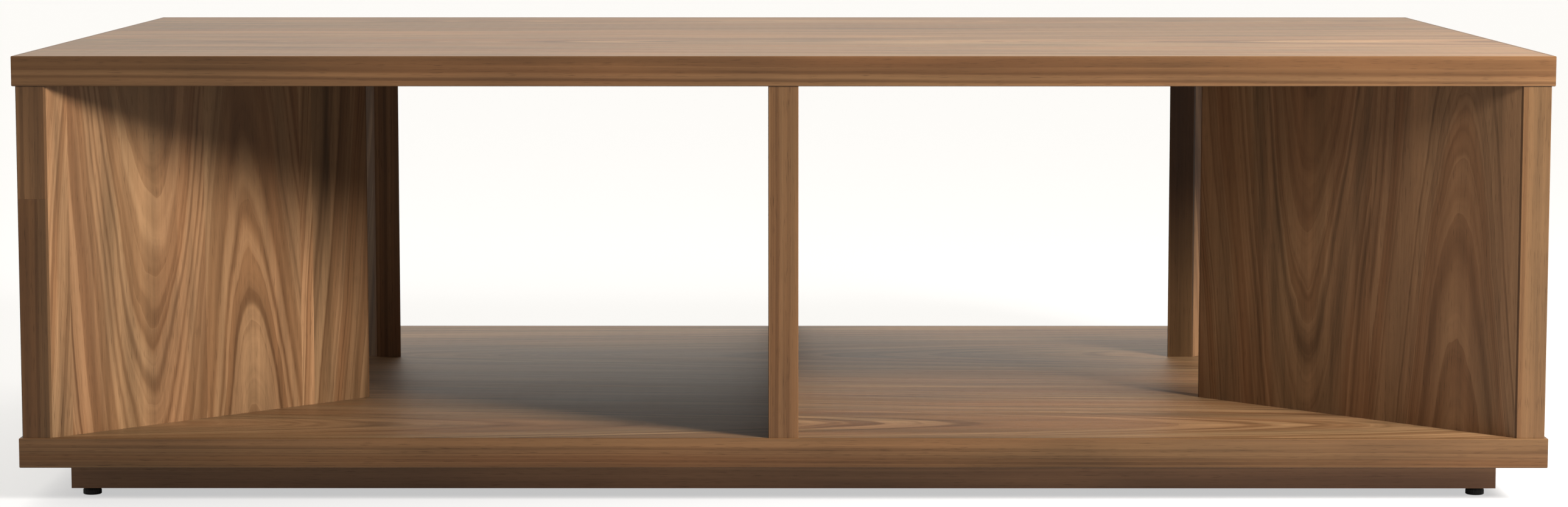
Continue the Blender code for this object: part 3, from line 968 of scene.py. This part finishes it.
# %% Stud and sleeve of a levelling foot
STUD_AROUND = 20
STUD_RADIUS = 0.0030
STUD_ROOT = 0.00245
STUD_PITCH = 0.0010
FLANGE_RADIUS = 0.0050
SLEEVE_RADIUS = 0.0050
SLEEVE_ROOT = 0.0041
SLEEVE_PITCH = 0.0025
RIM_RADIUS = 0.0065
RIM_HEIGHT = 0.0015
SLEEVE_LENGTH = 0.0130
PLAY = 0.0003


def make_stud(corner):
    """A flange, a thread and a blunt end."""
    middle, z0, z1 = middle_of(f"foot_stud_{corner}")
    heights, radii = stacked(
        STUD_AROUND,
        profile([(z0, 0.0024), (z0, FLANGE_RADIUS - 0.0004),
                 (z0 + 0.0003, FLANGE_RADIUS), (z0 + 0.0017, FLANGE_RADIUS),
                 (z0 + 0.0020, FLANGE_RADIUS - 0.0004),
                 (z0 + 0.0022, STUD_RADIUS)]),
        thread(z0 + 0.0026, z1 - 0.0006, STUD_PITCH, STUD_ROOT, STUD_RADIUS,
               STUD_AROUND),
        profile([(z1 - 0.0004, 0.0023), (z1, 0.0019)]))
    stud = turned(f"levelling_stud_{corner}", heights, radii, middle,
                  STUD_AROUND)
    fit(stud, f"stud_{corner}", "zinc_plated_steel", plated,
        f"foot_stud_{corner}")
    return z1 - z0


def make_sleeve(corner):
    """A ring: under its rim, up the outer thread, and down the smooth bore."""
    middle, z0, z1 = middle_of(f"foot_insert_{corner}")
    heights, radii = stacked(
        STUD_AROUND,
        profile([(z0, STUD_RADIUS + 0.0008), (z0, RIM_RADIUS - 0.0003),
                 (z0 + 0.0003, RIM_RADIUS), (z0 + RIM_HEIGHT, RIM_RADIUS),
                 (z0 + RIM_HEIGHT, SLEEVE_ROOT)]),
        thread(z0 + 0.0020, z1 - 0.0010, SLEEVE_PITCH, SLEEVE_ROOT,
               SLEEVE_RADIUS, STUD_AROUND),
        profile([(z1, SLEEVE_ROOT - 0.0001), (z1, STUD_RADIUS + PLAY),
                 (z0 + 0.0005, STUD_RADIUS + PLAY)]))
    sleeve = turned(f"threaded_sleeve_{corner}", heights, radii, middle,
                    STUD_AROUND, ring=True)
    fit(sleeve, "case", "zinc_plated_steel", plated, f"foot_insert_{corner}")


for corner, _, _ in CORNERS:
    pad_radius = make_pad(corner)
    stud_length = make_stud(corner)
    make_sleeve(corner)
print("pad radius", round(pad_radius, 4), "stud length", round(stud_length, 4))

# %% [markdown]
# ## Bores seen from below
# Each screw head and each foot sits in a hole of its own. A hole is best cut
# by the solid that fills it, so every bore is a stepped round solid, and one
# Boolean takes them all out of a board.

# %% Bores
DRILL_AROUND = 32
STUD_HOLE_DEPTH = 0.0208


def bored(piece, *drills):
    """Takes stepped round bores out of a board.

    A drill is a node's name and its steps, each a radius and the height above
    the node's lowest level that this radius reaches. The soft edges are shaded
    again by weighted normals, which the widest faces decide.
    """
    cutters = bpy.data.collections.new("drills")
    bpy.context.scene.collection.children.link(cutters)
    for node, steps in drills:
        axis, z0, _ = middle_of(node)
        rows, start = [], z0 - 0.002
        for radius, reach in steps:
            rows += [(start, radius), (z0 + reach, radius)]
            start = z0 + reach
        heights, radii = profile(rows)
        drill = turned("drill", heights, radii, axis, DRILL_AROUND)
        bpy.context.scene.collection.objects.unlink(drill)
        cutters.objects.link(drill)
    custom = piece.data.attributes.get("custom_normal")
    if custom:
        piece.data.attributes.remove(custom)
    piece.data.set_sharp_from_angle(angle=SMOOTH_BELOW)
    cut = piece.modifiers.new("bores", "BOOLEAN")
    cut.operand_type, cut.collection = "COLLECTION", cutters
    piece.modifiers.new("flat_faces", "WEIGHTED_NORMAL").keep_sharp = True
    ready = piece.evaluated_get(bpy.context.evaluated_depsgraph_get())
    mesh = bpy.data.meshes.new_from_object(ready)
    piece.modifiers.clear()
    piece.data = mesh
    for drill in list(cutters.objects):
        bpy.data.objects.remove(drill)
    bpy.data.collections.remove(cutters)
    print(piece.name, "has", len(mesh.polygons), "faces after boring")


print("a drill has", DRILL_AROUND, "flats")

# %% Boring the base and the plinth
case_steps, plinth_steps = (
    [(size.head_radius + PLAY, size.head_depth + PLAY)]
    for size in (LONG_SCREW, SHORT_SCREW))
foot_steps = [(RIM_RADIUS + PLAY, RIM_HEIGHT + PLAY),
              (SLEEVE_RADIUS + PLAY, SLEEVE_LENGTH + PLAY),
              (STUD_RADIUS + 2 * PLAY, STUD_HOLE_DEPTH)]
bored(bpy.data.objects["bottom_board"],
      *[(f"case_screw_{joint}", case_steps) for joint in JOINTS])
for end in ENDS:
    drills = []
    for side in SIDES:
        drills += [(f"foot_insert_{end}_{side}", foot_steps),
                   (f"plinth_screw_{end}_{side}", plinth_steps)]
    bored(bpy.data.objects[f"plinth_board_{end}"], *drills)

# %% [markdown]
# ## Studio
# The unit stands on a plain white floor. The floor glows a little where it is
# looked at, which keeps it white without lighting the wood.

# %% Floor
FLOOR_REACH = 40.0
FLOOR_GREY = 0.31
FLOOR_GLOW = 0.54
floor_mesh = bpy.data.meshes.new("floor")
floor_mesh.from_pydata(
    [(-FLOOR_REACH, -FLOOR_REACH, 0), (FLOOR_REACH, -FLOOR_REACH, 0),
     (FLOOR_REACH, FLOOR_REACH, 0), (-FLOOR_REACH, FLOOR_REACH, 0)],
    [], [(0, 1, 2, 3)])
floor = bpy.data.objects.new("floor", floor_mesh)
bpy.context.scene.collection.objects.link(floor)
paint = Finish("floor_paint", Emission_Strength=1.0)
looked_at = paint.node("ShaderNodeLightPath")
paint.plug(paint.surface.inputs["Emission Color"],
           paint.scaled((1.0, 1.0, 1.0), looked_at * FLOOR_GLOW))
spot = paint.noise([p * 3.0 for p in paint.parts(
    paint.node("ShaderNodeTexCoord", output=3))])
floor_mesh.materials.append(paint.finish(
    paint.scaled((FLOOR_GREY,) * 3, 1.0 + spot * 0.01), 0.8, spot, 0.0001))
print("floor", 2 * FLOOR_REACH, "m wide")

# %% [markdown]
# ## Lights
# One soft light stands close by at the front right, so it rakes into the left
# bay, lights the left wing and leaves the right wing in shade. Shiny surfaces
# don't mirror it, which spares the top a glare.

# %% Key light
KEY_PLACE = (1.65, -1.52, 1.20)
KEY_TARGET = (-0.1, -0.2, 0.20)
KEY_SIZE = 0.60
KEY_POWER = 154.0
KEY_COLOUR = (1.0, 0.98, 0.955)
key_data = bpy.data.lights.new("key", "AREA")
key_data.shape, key_data.size = "SQUARE", KEY_SIZE
key_data.energy, key_data.color = KEY_POWER, KEY_COLOUR
key = bpy.data.objects.new("key", key_data)
key.location = KEY_PLACE
key.rotation_euler = (Vector(KEY_TARGET) - Vector(KEY_PLACE)).to_track_quat(
    "-Z", "Y").to_euler()
key.visible_glossy = False
bpy.context.scene.collection.objects.link(key)
print("key light", KEY_POWER, "W")

# %% [markdown]
# The air does the rest: a background whose strength depends on the way one
# looks, where z tells how high and y how far to the rear. In front it is weak
# and only fills the shadows. Behind the unit it is bright close to the
# horizon, which the top and the bay floors mirror as a pale sheen at a slant,
# then dark, and bright again higher up. What the camera itself sees of it is
# an even white.

# %% Air
FRONT_LOW, FRONT_HIGH = 0.31, 0.16
HORIZON_GLOW, ABOVE_HORIZON, BACK_HIGH = 2.70, 0.06, 2.8
AIR_COLOUR = (1.0, 0.955, 0.88, 1.0)
WHITE = (1.0, 1.0, 1.0, 1.0)
BACKDROP = 1.05
world = bpy.data.worlds.new("studio")
bpy.context.scene.world = world
world.use_nodes = True
air = world.node_tree
sky = air.nodes["Background"]


def air_node(kind, settings, inputs, output=0):
    """One node of the world, made and plugged."""
    made = air.nodes.new(kind)
    for key, value in settings.items():
        setattr(made, key, value)
    for key, value in inputs.items():
        if isinstance(value, bpy.types.NodeSocket):
            air.links.new(value, made.inputs[key])
        else:
            made.inputs[key].default_value = value
    return made.outputs[output]


def air_ramp(value, start, stop, low, high):
    """A smooth rise from low to high as value goes from start to stop."""
    return air_node("ShaderNodeMapRange", {"interpolation_type": "SMOOTHSTEP"}, {
        "Value": value, "From Min": start, "From Max": stop,
        "To Min": low, "To Max": high})


_, rearward, upward = air_node("ShaderNodeSeparateXYZ", {}, {
    0: air_node("ShaderNodeTexCoord", {}, {})}).node.outputs
front_air = air_ramp(upward, 0.3, 0.90, FRONT_LOW, FRONT_HIGH)
horizon = air_ramp(upward, 0.02, 0.09, HORIZON_GLOW, ABOVE_HORIZON)
back_air = air_ramp(upward, 0.15, 0.65, horizon, BACK_HIGH)
glow = air_node("ShaderNodeMix", {"data_type": "FLOAT"}, {
    0: air_ramp(rearward, -0.15, 0.35, 0.0, 1.0), 2: front_air, 3: back_air})
seen = air_node("ShaderNodeLightPath", {}, {})
strength = air_node("ShaderNodeMix", {"data_type": "FLOAT"},
                    {0: seen, 2: glow, 3: BACKDROP})
air.links.new(strength, sky.inputs["Strength"])
tint = air_node("ShaderNodeMix", {"data_type": "RGBA"},
                {0: seen, 6: AIR_COLOUR, 7: WHITE}, output=2)
air.links.new(tint, sky.inputs["Color"])
bpy.context.scene.view_settings.view_transform = "Standard"
print("air nodes:", len(air.nodes))

# %% [markdown]
